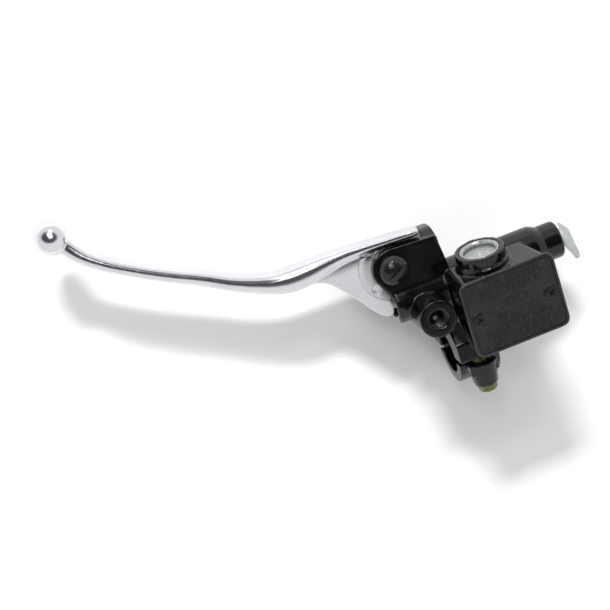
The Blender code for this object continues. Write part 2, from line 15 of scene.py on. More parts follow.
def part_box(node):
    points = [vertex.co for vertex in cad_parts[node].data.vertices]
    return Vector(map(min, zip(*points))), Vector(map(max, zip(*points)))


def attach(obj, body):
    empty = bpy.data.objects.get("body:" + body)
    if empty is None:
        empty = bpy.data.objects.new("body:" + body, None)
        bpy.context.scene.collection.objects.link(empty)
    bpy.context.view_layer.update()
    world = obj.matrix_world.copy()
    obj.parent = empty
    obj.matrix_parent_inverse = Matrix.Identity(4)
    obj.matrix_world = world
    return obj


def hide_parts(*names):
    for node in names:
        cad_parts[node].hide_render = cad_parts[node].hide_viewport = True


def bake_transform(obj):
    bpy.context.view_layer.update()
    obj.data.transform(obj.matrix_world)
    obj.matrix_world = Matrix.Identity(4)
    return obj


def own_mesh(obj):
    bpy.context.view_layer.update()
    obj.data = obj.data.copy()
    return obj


MM = 0.001
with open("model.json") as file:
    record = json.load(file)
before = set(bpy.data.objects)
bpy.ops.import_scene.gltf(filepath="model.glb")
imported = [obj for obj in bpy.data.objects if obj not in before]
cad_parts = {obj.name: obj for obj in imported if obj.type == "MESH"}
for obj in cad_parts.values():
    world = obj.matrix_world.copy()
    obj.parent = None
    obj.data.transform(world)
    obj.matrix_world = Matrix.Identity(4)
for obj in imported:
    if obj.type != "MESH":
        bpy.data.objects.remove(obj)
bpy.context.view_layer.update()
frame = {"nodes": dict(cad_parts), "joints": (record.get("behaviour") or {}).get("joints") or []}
NODES = frame["nodes"]


# ---------------------------------------------------------------- places: some read from the frame, the rest given

def node_box(name):
    """Lowest and highest corner of a CAD node, in millimetres."""
    low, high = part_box(name)
    return Vector(low) / MM, Vector(high) / MM


def node_middle(name):
    low, high = node_box(name)
    return (low + high) / 2


JOINTS = {joint["name"]: joint for joint in frame["joints"]}
PIVOT = Vector(JOINTS["lever_pivot"]["pos_m"]) / MM
COVER_LOW, COVER_HIGH = node_box("reservoir_cover")
COVER_FACE_Z = COVER_HIGH.z - 0.6
COVER_CORNER_R = 5.0
COVER_RIM_WIDTH = 1.7
BARREL_Y = node_middle("piston").y
FLOOR_Z = min(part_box(name)[0].z for name in NODES) / MM

# Room between a piece and its seat
GAP = 0.3

# Mirror boss, beside the cover and level with it
MIRROR = Vector((-15.6, 27.6, 27.0))
MIRROR_HOLE_R = 4.5
MIRROR_HOLE_FLOOR_Z = 13.5

# Level window: the middle of its ring's front face, and the way it looks
SIGHT_AXIS = Vector((0, math.cos(math.radians(8)), math.sin(math.radians(8))))
SIGHT_FACE = Vector((15.2, 50.0, 17.4))

CAMERA_FOCAL_MM = 79.7
CAMERA_PLACE = Vector((-139.6, 252.1, 616.0))
CAMERA_BACK = Vector((-0.1059, 0.3103, 0.9447))
CAMERA_UP = Vector((0.3614, 0.8971, -0.2542))

# Lever bar, from its end at the stop to the neck of the ball:
# centre x and y, half width in plan, half height
BAR_SECTIONS = (
    (-7.0, 64.9, 1.0, 2.8),
    (-7.5, 64.9, 1.7, 4.2),
    (-9.0, 64.9, 2.1, 4.9),
    (-14.0, 65.2, 2.3, 5.2),
    (-25.0, 65.9, 2.6, 5.5),
    (-38.0, 66.6, 3.2, 5.9),
    (-48.0, 66.7, 4.1, 6.3),
    (-57.0, 65.9, 5.4, 6.7),
    (-66.0, 65.0, 6.4, 7.0),
    (-74.0, 65.0, 6.4, 7.0),
    (-81.0, 66.2, 5.7, 6.9),
    (-90.0, 69.5, 4.9, 6.8),
    (-99.0, 73.6, 4.4, 6.7),
    (-113.0, 81.6, 4.0, 6.6),
    (-127.0, 88.9, 3.8, 6.5),
    (-141.0, 97.0, 3.7, 6.4),
    (-154.0, 105.6, 3.7, 6.1),
    (-161.0, 111.6, 3.9, 5.5),
    (-165.6, 117.5, 4.3, 4.8),
    (-169.0, 122.2, 4.6, 4.6),
)
BALL = Vector((-170.8, 124.6, 0))
BALL_R = 8.4
WEB_HALF = 4.8
TONGUE_HALF = 3.9
WEB_STEP_R = 16.4
TONGUE_HOLE = (-35.4, 45.0)
TONGUE_HOLE_R = 2.2

# Heads of the bolts, and of the pivot's screw and nut; the slot's turn is in degrees
BOLT_HEAD_HEIGHT = 4.2
BOLT_HEAD_R = 4.75
PIVOT_HEAD_R = 7.4
PIVOT_SLOT_TURN = 24
PIVOT_NUT_R = 7.2


# ---------------------------------------------------------------- mesh tools

def mesh_from(bm, name="mesh"):
    bmesh.ops.recalc_face_normals(bm, faces=bm.faces)
    mesh = bpy.data.meshes.new(name)
    bm.to_mesh(mesh)
    bm.free()
    return mesh


def object_from(name, mesh):
    """An object in metres from a mesh in millimetres."""
    mesh.transform(Matrix.Scale(MM, 4))
    obj = bpy.data.objects.new(name, mesh)
    bpy.context.scene.collection.objects.link(obj)
    return obj


def copy_of(node, name):
    """A piece that starts as a copy of a CAD node's mesh."""
    mesh = NODES[node].data.copy()
    mesh.materials.clear()
    bm = bmesh.new()
    bm.from_mesh(mesh)
    bmesh.ops.remove_doubles(bm, verts=bm.verts, dist=1e-6)
    bm.to_mesh(mesh)
    bm.free()
    obj = bpy.data.objects.new(name, mesh)
    bpy.context.scene.collection.objects.link(obj)
    return obj


def bake(obj):
    """Applies the object's modifiers to its mesh."""
    graph = bpy.context.evaluated_depsgraph_get()
    mesh = bpy.data.meshes.new_from_object(obj.evaluated_get(graph))
    obj.modifiers.clear()
    obj.data = mesh
    return obj


def combine(obj, operation, tools):
    """Adds or cuts closed tools, and removes them."""
    for tool in tools:
        step = obj.modifiers.new("combine", "BOOLEAN")
        step.operation = operation
        step.solver = "MANIFOLD"
        step.object = tool
    bake(obj)
    for tool in tools:
        bpy.data.objects.remove(tool)
    return obj


def soften(obj, voxel, rounds):
    """Brings the whole shape to one even skin and rounds its edges and corners."""
    skin = obj.modifiers.new("skin", "REMESH")
    skin.mode = "VOXEL"
    skin.voxel_size = voxel * MM
    smooth = obj.modifiers.new("smooth", "SMOOTH")
    smooth.factor = 0.5
    smooth.iterations = rounds
    return bake(obj)


def bevel(obj, width, segments=3, angle=40):
    edge = obj.modifiers.new("edge", "BEVEL")
    edge.width = width * MM
    edge.segments = segments
    edge.limit_method = "ANGLE"
    edge.angle_limit = math.radians(angle)
    return bake(obj)


def placed(mesh, base, axis):
    """Turns a mesh that was made along Z to the axis, and moves it to the base."""
    turn = Vector(axis).to_track_quat("Z", "Y").to_matrix().to_4x4()
    mesh.transform(Matrix.Translation(Vector(base)) @ turn)
    return mesh


def eased(points, radius, closed=True, steps=4):
    """The flat outline with each corner rounded; an open one keeps its ends."""
    points = [Vector(point) for point in points]
    count = len(points)
    result = []
    for i, corner in enumerate(points):
        if not closed and i in (0, count - 1):
            result.append(tuple(corner))
            continue
        before = points[i - 1] - corner
        after = points[(i + 1) % count] - corner
        reach = min(radius, before.length / 2.05, after.length / 2.05)
        start = corner + before.normalized() * reach
        end = corner + after.normalized() * reach
        for k in range(steps + 1):
            t = k / steps
            result.append(tuple(start * (1 - t) ** 2 + corner * 2 * t * (1 - t) + end * t ** 2))
    return result


def arc(centre, radius, start, end, count):
    """Points on an arc, angles in degrees."""
    angles = np.radians(np.linspace(start, end, count + 1))
    return [(centre[0] + radius * math.cos(a), centre[1] + radius * math.sin(a)) for a in angles]


def slab(outline, low, high):
    bm = bmesh.new()
    face = bm.faces.new([bm.verts.new((x, y, low)) for x, y in outline])
    made = bmesh.ops.extrude_face_region(bm, geom=[face])
    lifted = [item for item in made["geom"] if isinstance(item, bmesh.types.BMVert)]
    bmesh.ops.translate(bm, verts=lifted, vec=(0, 0, high - low))
    return mesh_from(bm)


def lathe(profile, base=(0, 0, 0), axis=(0, 0, 1), steps=72):
    """A turned mesh from (radius, height) points, along the axis from the base."""
    bm = bmesh.new()
    turns = [(math.cos(a), math.sin(a)) for a in np.linspace(0, 2 * math.pi, steps, endpoint=False)]
    rings = []
    for radius, height in profile:
        if radius < 1e-6:
            rings.append([bm.verts.new((0, 0, height))])
        else:
            rings.append([bm.verts.new((radius * c, radius * s, height)) for c, s in turns])
    pairs = list(zip(rings, rings[1:]))
    if profile[0][0] > 1e-6:
        pairs.append((rings[-1], rings[0]))
    for first, second in pairs:
        for k in range(steps):
            after = (k + 1) % steps
            corners = [first[k % len(first)], first[after % len(first)]]
            corners += [second[after % len(second)], second[k % len(second)]]
            bm.faces.new(list(dict.fromkeys(corners)))
    return placed(mesh_from(bm), base, axis)


def block(low, high):
    low = Vector(low)
    high = Vector(high)
    bm = bmesh.new()
    size = Matrix.Diagonal((*(high - low), 1))
    bmesh.ops.create_cube(bm, size=1, matrix=Matrix.Translation((low + high) / 2) @ size)
    return mesh_from(bm)


def loft(rings):
    """A closed skin over rings of points, flat at both ends."""
    bm = bmesh.new()
    rows = [[bm.verts.new(point) for point in ring] for ring in rings]
    sides = len(rows[0])
    for first, second in zip(rows, rows[1:]):
        for k in range(sides):
            after = (k + 1) % sides
            bm.faces.new((first[k], first[after], second[after], second[k]))
    bm.faces.new(rows[0])
    bm.faces.new(rows[-1])
    return mesh_from(bm)


def helix(base, axis, start, end, radius, turns, profile, per_turn=36, flat_ends=0.0):
    """A coil along the axis; the profile holds (outward, along) points of the wire's section."""
    count = int(turns * per_turn)
    rings = []
    for i in range(count + 1):
        share = i / count
        if flat_ends:
            share = min(max((share - flat_ends) / (1 - 2 * flat_ends), 0), 1)
        angle = 2 * math.pi * i / per_turn
        height = start + (end - start) * share
        out = Vector((math.cos(angle), math.sin(angle), 0))
        rings.append([out * (radius + u) + Vector((0, 0, height + v)) for u, v in profile])
    return placed(loft(rings), base, axis)


def smooth_through(points, per_span):
    """Rows on a smooth curve through the given rows, which is even along its length."""
    rows = np.array(points, float)
    places = np.concatenate([[0], np.cumsum(np.linalg.norm(np.diff(rows[:, :2], axis=0), axis=1))])
    slopes = np.gradient(rows, places, axis=0)
    result = []
    for i in range(len(rows) - 1):
        span = places[i + 1] - places[i]
        for s in np.arange(per_span) / per_span:
            result.append(
                (2 * s ** 3 - 3 * s ** 2 + 1) * rows[i]
                + (s ** 3 - 2 * s ** 2 + s) * span * slopes[i]
                + (3 * s ** 2 - 2 * s ** 3) * rows[i + 1]
                + (s ** 3 - s ** 2) * span * slopes[i + 1]
            )
    result.append(rows[-1])
    return np.array(result)


def finish_piece(obj, colour, slot, body, *replaced, sharp=38):
    obj.data.materials.clear()
    obj.data.materials.append(colour)
    obj.data.shade_smooth()
    obj.data.set_sharp_from_angle(angle=math.radians(sharp))
    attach(obj, body)
    if replaced:
        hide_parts(*replaced)
    return obj


# ---------------------------------------------------------------- materials

def node(tree, kind, **inputs):
    made = tree.nodes.new(kind)
    for name, value in inputs.items():
        made.inputs[name.replace("_", " ")].default_value = value
    return made


def noise(tree, grain, detail=4.0, stretch=(1, 1, 1)):
    """Noise whose blotches are about grain millimetres across, longer along a stretched axis."""
    place = tree.nodes.new("ShaderNodeTexCoord")
    spread = node(tree, "ShaderNodeMapping", Scale=tuple(1 / (grain * MM * s) for s in stretch))
    tree.links.new(place.outputs["Object"], spread.inputs["Vector"])
    made = node(tree, "ShaderNodeTexNoise", Scale=1.0, Detail=detail, Roughness=0.55)
    tree.links.new(spread.outputs["Vector"], made.inputs["Vector"])
    return made.outputs["Fac"]


def ranged(tree, value, low, high, start=0.3, end=0.7):
    made = node(tree, "ShaderNodeMapRange")
    for name, number in (("From Min", start), ("From Max", end), ("To Min", low), ("To Max", high)):
        made.inputs[name].default_value = number
    tree.links.new(value, made.inputs["Value"])
    return made.outputs["Result"]


def tinted(tree, value, first, second):
    made = tree.nodes.new("ShaderNodeValToRGB")
    made.color_ramp.elements[0].position = 0.32
    made.color_ramp.elements[1].position = 0.68
    made.color_ramp.elements[0].color = (*first, 1)
    made.color_ramp.elements[1].color = (*second, 1)
    tree.links.new(value, made.inputs["Fac"])
    return made.outputs["Color"]


def bumped(tree, value, height, strength=1.0, under=None):
    made = node(tree, "ShaderNodeBump", Strength=strength, Distance=height * MM)
    tree.links.new(value, made.inputs["Height"])
    if under:
        tree.links.new(under, made.inputs["Normal"])
    return made.outputs["Normal"]


def material(name, colours, roughness, metallic, patch, grain, height, stretch=(1, 1, 1), **sockets):
    """A surface with two shades in patches, uneven polish, and a fine grain with real height."""
    made = bpy.data.materials.new(name)
    made.use_nodes = True
    tree = made.node_tree
    shader = tree.nodes["Principled BSDF"]
    shader.inputs["Metallic"].default_value = metallic
    for socket, value in sockets.items():
        shader.inputs[socket.replace("_", " ")].default_value = value
    patches = noise(tree, patch, 3.0, stretch)
    fine = noise(tree, grain, 5.0, stretch)
    tree.links.new(tinted(tree, patches, *colours), shader.inputs["Base Color"])
    tree.links.new(ranged(tree, patches, *roughness), shader.inputs["Roughness"])
    tree.links.new(bumped(tree, fine, height), shader.inputs["Normal"])
    return made


def lever_metal():
    """Clear-anodised aluminium: polished along the bar, satin on the flat web."""
    made = bpy.data.materials.new("lever_aluminium")
    made.use_nodes = True
    tree = made.node_tree
    shader = tree.nodes["Principled BSDF"]
    shader.inputs["Metallic"].default_value = 1.0
    patches = noise(tree, 14.0, 3.0)
    tree.links.new(
        tinted(tree, patches, (0.72, 0.725, 0.74), (0.78, 0.785, 0.795)), shader.inputs["Base Color"]
    )
    place = tree.nodes.new("ShaderNodeTexCoord")
    parts = tree.nodes.new("ShaderNodeSeparateXYZ")
    tree.links.new(place.outputs["Object"], parts.inputs["Vector"])
    satin = ranged(tree, parts.outputs["Y"], 1.0, 0.0, 0.0585, 0.0625)
    tree.links.new(ranged(tree, satin, 1.0, 0.62, 0.0, 1.0), shader.inputs["Metallic"])
    uneven = ranged(tree, noise(tree, 3.0), -0.025, 0.025)
    base = node(tree, "ShaderNodeMath")
    base.operation = "MULTIPLY_ADD"
    base.inputs[1].default_value = 0.28
    base.inputs[2].default_value = 0.19
    tree.links.new(satin, base.inputs[0])
    total = node(tree, "ShaderNodeMath")
    total.operation = "ADD"
    tree.links.new(base.outputs["Value"], total.inputs[0])
    tree.links.new(uneven, total.inputs[1])
    tree.links.new(total.outputs["Value"], shader.inputs["Roughness"])
    grain = bumped(tree, noise(tree, 0.35, 5.0), 0.004)
    swell = bumped(tree, noise(tree, 6.0, 2.0), 0.02, 1.0, grain)
    tree.links.new(swell, shader.inputs["Normal"])
    return made


def plug_plastic():
    """Milky plastic with the fine ribs of its pull tab."""
    made = material(
        "plug_plastic", ((0.42, 0.445, 0.45), (0.50, 0.52, 0.525)), (0.22, 0.36), 0.0, 5.0, 0.4, 0.01,
        Alpha=0.78,
    )
    tree = made.node_tree
    place = tree.nodes.new("ShaderNodeTexCoord")
    ribs = node(tree, "ShaderNodeTexWave", Scale=330.0, Distortion=0.2)
    ribs.bands_direction = "Y"
    tree.links.new(place.outputs["Object"], ribs.inputs["Vector"])
    shader = tree.nodes["Principled BSDF"]
    under = shader.inputs["Normal"].links[0].from_socket
    tree.links.new(bumped(tree, ribs.outputs["Fac"], 0.12, 1.0, under), shader.inputs["Normal"])
    return made


GLOSS_BLACK = material(
    "gloss_black", ((0.0012, 0.0012, 0.0016), (0.0028, 0.0028, 0.0036)), (0.08, 0.16), 0.0, 9.0, 0.9, 0.006,
    IOR=1.48,
)
COVER_CHARCOAL = material(
    "cover_charcoal", ((0.012, 0.012, 0.0125), (0.020, 0.020, 0.0205)), (0.48, 0.58), 0.0, 6.0, 0.35, 0.02,
    Specular_IOR_Level=0.3,
)
COVER_RIM = material(
    "cover_rim", ((0.008, 0.008, 0.009), (0.014, 0.014, 0.015)), (0.2, 0.3), 0.0, 6.0, 0.5, 0.008, IOR=1.5
)
BLACK_STEEL = material(
    "black_steel", ((0.012, 0.012, 0.014), (0.03, 0.03, 0.033)), (0.24, 0.36), 0.5, 3.0, 0.3, 0.006
)
PIVOT_BLACK = material(
    "pivot_black", ((0.008, 0.008, 0.009), (0.016, 0.016, 0.018)), (0.12, 0.2), 0.2, 4.0, 0.5, 0.004
)
ALUMINIUM = lever_metal()
PLATED = material(
    "plated_steel", ((0.60, 0.60, 0.58), (0.76, 0.76, 0.75)), (0.24, 0.36), 1.0, 4.0, 0.25, 0.006
)
BRIGHT = material(
    "bright_metal", ((0.36, 0.375, 0.37), (0.50, 0.515, 0.51)), (0.2, 0.32), 1.0, 3.0, 0.2, 0.004
)
SPRING_STEEL = material(
    "spring_steel", ((0.36, 0.36, 0.37), (0.52, 0.52, 0.53)), (0.25, 0.4), 1.0, 2.0, 0.2, 0.005
)
OLIVE = material(
    "olive_steel", ((0.10, 0.115, 0.035), (0.17, 0.18, 0.07)), (0.28, 0.42), 0.55, 2.4, 0.3, 0.01
)
RUBBER = material(
    "rubber", ((0.010, 0.010, 0.011), (0.022, 0.022, 0.023)), (0.6, 0.78), 0.0, 4.0, 0.25, 0.02
)
NYLON = material(
    "nylon", ((0.74, 0.71, 0.58), (0.84, 0.82, 0.72)), (0.38, 0.5), 0.0, 3.0, 0.3, 0.01, Subsurface_Weight=0.1
)
BRONZE = material(
    "bronze", ((0.36, 0.22, 0.09), (0.56, 0.38, 0.18)), (0.32, 0.5), 1.0, 1.2, 0.12, 0.012
)
LENS = material(
    "lens", ((0.90, 0.93, 0.92), (0.96, 0.98, 0.97)), (0.03, 0.06), 0.0, 5.0, 0.8, 0.002, Alpha=0.14, IOR=1.49
)
PLUG = plug_plastic()


# ---------------------------------------------------------------- cast body and clamp cap

def screw_thread(name, base, axis, start, end, radius, pitch, depth, colour, slot, body):
    """A cut thread's crests, on the wall of a hole."""
    ridge = [(0.15, -0.42 * pitch), (0.15, 0.42 * pitch), (-depth, 0.08 * pitch), (-depth, -0.08 * pitch)]
    turns = (end - start) / pitch
    thread = object_from(name, helix(base, axis, start, end, radius, turns, ridge, 40))
    return finish_piece(thread, colour, slot, body)


def make_body():
    body = soften(copy_of("master_cylinder_body", "cast_body"), 0.42, 7)
    mouth = [
        (0, MIRROR.z + 1), (MIRROR_HOLE_R + 1.7, MIRROR.z + 1),
        (MIRROR_HOLE_R, MIRROR.z - 0.7), (MIRROR_HOLE_R, MIRROR_HOLE_FLOOR_Z),
        (0, MIRROR_HOLE_FLOOR_Z - 2.2),
    ]
    cuts = [object_from("mouth", lathe(mouth, (MIRROR.x, MIRROR.y, 0), (0, 0, 1), 64))]
    combine(body, "DIFFERENCE", cuts)
    finish_piece(body, GLOSS_BLACK, "cast_black", "cylinder", "master_cylinder_body", sharp=44)
    screw_thread(
        "mirror_thread", (MIRROR.x, MIRROR.y, 0), (0, 0, 1), MIRROR_HOLE_FLOOR_Z + 1, MIRROR.z - 1.2,
        MIRROR_HOLE_R, 1.25, 0.45, BLACK_STEEL, "black_steel", "cylinder",
    )


def make_clamp_cap():
    cap = soften(copy_of("handlebar_clamp_cap", "clamp_cap"), 0.36, 7)
    finish_piece(cap, GLOSS_BLACK, "cast_black", "cylinder", "handlebar_clamp_cap", sharp=44)


def hexagon(corner_radius, turn=0):
    return arc((0, 0), corner_radius, turn, turn + 300, 5)


def make_clamp_bolts():
    """Flanged hexagon bolts with a domed top."""
    for place in ("upper", "lower"):
        name = f"clamp_bolt_{place}"
        low, high = node_box(name)
        base = ((low.x + high.x) / 2, high.y, (low.z + high.z) / 2)
        length = high.y - low.y
        seat = length - BOLT_HEAD_HEIGHT
        dome = [
            (0, length), (2.4, length - 0.05), (4.0, length - 0.6), (4.8, length - 1.5),
            (5.0, seat + 0.7), (0, seat + 0.7),
        ]
        shank = [
            (0, 0), (2.4, 0), (3.0, 0.6), (3.0, seat),
            (5.2, seat), (5.2, seat + 0.5), (4.9, seat + 1.0), (0, seat + 1.0),
        ]
        head = object_from(name + "_fine", lathe(dome, base, (0, -1, 0), 96))
        flats = placed(slab(hexagon(BOLT_HEAD_R, 15), seat, length + 1), base, (0, -1, 0))
        combine(head, "INTERSECT", [object_from("flats", flats)])
        combine(head, "UNION", [object_from("shank", lathe(shank, base, (0, -1, 0), 72))])
        finish_piece(bevel(head, 0.15, 2), OLIVE, "olive_steel", "cylinder", name)


# ---------------------------------------------------------------- reservoir cover and level window

def relief_ribs():
    """Plain raised ribs in rows along the cover, as (x, y, length across, width)."""
    rows = (
        (36.6, 1.6, 38.8, 2.6), (32.0, 5.4, 34.8, 2.6), (25.6, 13.6, 28.6, 3.2),
        (19.4, 12.0, 31.8, 2.6), (14.4, 9.4, 38.4, 2.6), (9.8, 6.0, 41.6, 2.6), (6.0, 1.6, 36.0, 1.8),
    )
    widths = (0.5, 1.5, 0.5, 0.9, 2.1, 0.5, 1.2, 0.6)
    spaces = (0.6, 0.55, 0.7, 0.6, 1.5, 0.6, 0.7, 0.55, 0.6, 0.65, 1.8)
    ribs = []
    for y, start, end, tall in rows:
        x = start
        while x < end:
            width = widths[len(ribs) % len(widths)]
            ribs.append((x, y, tall, width))
            x += width + spaces[len(ribs) % len(spaces)]
    return ribs


def ribs_mesh():
    bm = bmesh.new()
    top = COVER_HIGH.z - 0.08
    for x, y, tall, width in relief_ribs():
        size = Matrix.Diagonal((width, tall, 1.0, 1))
        place = Matrix.Translation((x + width / 2, y, top - 0.5))
        bmesh.ops.create_cube(bm, size=1, matrix=place @ size)
    return mesh_from(bm)


def cover_outline(inset):
    """The cover's rounded outline, drawn in by the inset."""
    low = COVER_LOW + Vector((inset, inset, 0))
    high = COVER_HIGH - Vector((inset, inset, 0))
    corners = (low.xy, (high.x, low.y), high.xy, (low.x, high.y))
    return eased(corners, COVER_CORNER_R - inset, steps=8)


def make_cover():
    above = COVER_HIGH.z + 1
    cover = object_from("reservoir_cover_fine", slab(cover_outline(0), COVER_LOW.z, COVER_HIGH.z - 0.25))
    bevel(cover, 1.2, 6)
    inner = object_from("inner", slab(cover_outline(COVER_RIM_WIDTH + 0.05), COVER_FACE_Z, above))
    groove = object_from("groove", slab(cover_outline(COVER_RIM_WIDTH), COVER_FACE_Z - 0.3, above))
    plate = object_from("plate", slab(cover_outline(COVER_RIM_WIDTH + 0.4), COVER_LOW.z, above + 1))
    combine(groove, "DIFFERENCE", [plate])
    combine(cover, "DIFFERENCE", [inner, groove])
    combine(cover, "UNION", [object_from("ribs", ribs_mesh())])
    cuts = []
    for side in ("left", "right"):
        middle = node_middle(f"cover_screw_{side}")
        sink = [
            (0, COVER_LOW.z - 1), (2.4, COVER_LOW.z - 1), (2.4, COVER_LOW.z + 0.5),
            (4.55, COVER_FACE_Z), (4.75, above), (0, above),
        ]
        cuts.append(object_from("sink", lathe(sink, (middle.x, middle.y, 0), (0, 0, 1), 64)))
    pocket_low, pocket_high = node_box("diaphragm_plate")
    pocket_start = (pocket_low.x - 0.4, pocket_low.y - 0.4, COVER_LOW.z - 1)
    pocket_end = (pocket_high.x + 0.4, pocket_high.y + 0.4, pocket_high.z + GAP)
    cuts.append(object_from("pocket", block(pocket_start, pocket_end)))
    combine(cover, "DIFFERENCE", cuts)
    finish_piece(bevel(cover, 0.08, 2, 50), COVER_CHARCOAL, "cover_charcoal", "cylinder", "reservoir_cover")
    cover.data.materials.append(COVER_RIM)
    for face in cover.data.polygons:
        x, y, z = face.center / MM
        inset = min(x - COVER_LOW.x, COVER_HIGH.x - x, y - COVER_LOW.y, COVER_HIGH.y - y)
        if inset < COVER_RIM_WIDTH:
            face.material_index = 1


def make_cover_screws():
    for side, turn in (("left", 24), ("right", 52)):
        name = f"cover_screw_{side}"
        low, high = node_box(name)
        middle = (low + high) / 2
        top = COVER_FACE_Z
        profile = [
            (0, top), (2.4, top - 0.04), (3.7, top - 0.16), (4.1, top - 0.42), (3.9, top - 0.62),
            (2.0, top - 2.2), (2.0, low.z + 0.5), (1.5, low.z), (0, low.z),
        ]
        screw = object_from(name + "_fine", lathe(profile, (middle.x, middle.y, 0), (0, 0, 1), 72))
        arms = []
        for quarter in (0, 90):
            arm = slab([(-2.25, -0.5), (2.25, -0.5), (2.25, 0.5), (-2.25, 0.5)], top - 1.5, top + 1)
            for vertex in arm.vertices:
                if vertex.co.z < top - 1:
                    vertex.co.x *= 0.45
                    vertex.co.y *= 0.8
            turned = Matrix.Rotation(math.radians(turn + quarter), 4, "Z")
            arm.transform(Matrix.Translation((middle.x, middle.y, 0)) @ turned)
            arms.append(object_from("arm", arm))
        combine(screw, "DIFFERENCE", arms)
        finish_piece(bevel(screw, 0.07, 2, 50), BLACK_STEEL, "black_steel", "cylinder", name)


def sight_piece(name, profile, colour, slot, replaced):
    piece = object_from(name, lathe(profile, SIGHT_FACE, SIGHT_AXIS, 96))
    return finish_piece(piece, colour, slot, "cylinder", replaced)


def make_sight_glass():
    ring = eased([(8.0, -2.1), (9.65, -2.1), (9.65, -0.1), (8.9, -0.1), (8.3, -0.9), (8.0, -0.9)], 0.25)
    sight_piece("sight_bezel", ring, BRIGHT, "plated_steel", "sight_glass_bezel")
    lens = [
        (0, -2.2), (3.0, -2.24), (6.0, -2.38), (8.6, -2.6), (9.3, -2.75),
        (9.45, -3.0), (9.45, -3.9), (9.2, -4.0), (0, -4.0),
    ]
    sight_piece("sight_lens", lens, LENS, "clear_lens", "sight_glass_lens")
    seal = eased([(8.3, -5.2), (9.4, -5.2), (9.4, -4.3), (8.3, -4.3)], 0.35)
    sight_piece("sight_seal", seal, RUBBER, "rubber", "sight_glass_seal")
    wall = []
    for i in range(4):
        depth = -4.5 - 1.0 * i
        inner = 6.35 - 0.28 * i
        wall += [(inner, depth), (inner, depth - 0.62), (inner - 0.2, depth - 0.72)]
    floor = [(5.2, -8.9), (4.3, -9.0), (4.0, -8.5), (2.9, -8.3), (2.5, -7.6), (1.6, -7.3), (0, -7.25)]
    reflector = [(0, -9.6), (6.5, -9.6), (6.6, -9.4), (6.6, -4.5)] + wall + floor
    sight_piece("level_reflector_fine", reflector, BRIGHT, "bright_metal", "level_reflector")


# ---------------------------------------------------------------- lever and pivot

def bar_rings(per_span=9, sides=64):
    squareness = 0.84
    angles = np.linspace(0, 2 * math.pi, sides, endpoint=False)
    across = np.sign(np.cos(angles)) * np.abs(np.cos(angles)) ** squareness
    up = np.sign(np.sin(angles)) * np.abs(np.sin(angles)) ** squareness
    rows = smooth_through(BAR_SECTIONS, per_span)
    lines = np.gradient(rows[:, :2], axis=0)
    lines /= np.linalg.norm(lines, axis=1)[:, None]
    rings = []
    for (x, y, half_width, half_height), (dx, dy) in zip(rows, lines):
        rings.append([
            (x - dy * a * half_width, y + dx * a * half_width, b * half_height)
            for a, b in zip(across, up)
        ])
    return rings


def web_outline():
    step = arc(PIVOT, 12.2, 128, 246, 20)
    heel = [(-30.6, 37.2), (-30.6, 32.6), (-31.0, 31.0), (-32.3, 30.2), (-34.4, 30.3), (-36.6, 31.6)]
    lower_edge = [
        (-39.6, 34.6), (-42.4, 38.4), (-45.6, 43.0), (-49.2, 47.8), (-52.9, 52.4),
        (-55.6, 55.4), (-58.8, 57.8), (-62.6, 59.3), (-67.0, 60.2),
    ]
    return step + heel + lower_edge + [(-66.0, 65.0), (-48.0, 66.5)]


def tongue_outline():
    hub = arc(PIVOT, 8.8, -100, 75, 20)
    left_side = [(-23.4, 64.0), (-39.0, 65.0), (-44.0, 62.0), (-44.0, 46.0), (-40.0, 38.0)]
    return [(-34.0, 32.0), (-31.0, 32.0), (-30.4, 38.5)] + hub + left_side


def ring_cutters():
    """The turned step round the pivot, on both faces, kept off the bar's ridge."""
    cutters = []
    groove_z = WEB_HALF - 0.9
    profile = [
        (0, TONGUE_HALF), (12.4, TONGUE_HALF), (12.8, TONGUE_HALF + 0.2), (WEB_STEP_R - 0.5, WEB_HALF - 0.45),
        (WEB_STEP_R - 0.4, groove_z), (WEB_STEP_R, groove_z), (WEB_STEP_R, 9), (0, 9),
    ]
    for side in (1, -1):
        cutter = object_from("ring", lathe(profile, (*PIVOT.xy, 0), (0, 0, side), 128))
        keep = object_from("keep", block((-60, 20, -10), (0, 62.4, 10)))
        cutters.append(combine(cutter, "INTERSECT", [keep]))
    return cutters


def lever_holes():
    """Cutters for the pivot bush's seat and the small hole in the tongue, both flared at the faces."""
    bush_low, bush_high = node_box("pivot_bush")
    bush_r = (bush_high.x - bush_low.x) / 2 + GAP
    half = TONGUE_HALF
    cutters = []
    for x, y, radius in ((PIVOT.x, PIVOT.y, bush_r), (*TONGUE_HOLE, TONGUE_HOLE_R)):
        wide = radius + 1.3
        profile = [
            (0, half + 1), (wide, half + 1), (radius, half - 0.3),
            (radius, 0.3 - half), (wide, -half - 1), (0, -half - 1),
        ]
        cutters.append(object_from("hole", lathe(profile, (x, y, 0), (0, 0, 1), 64)))
    return cutters


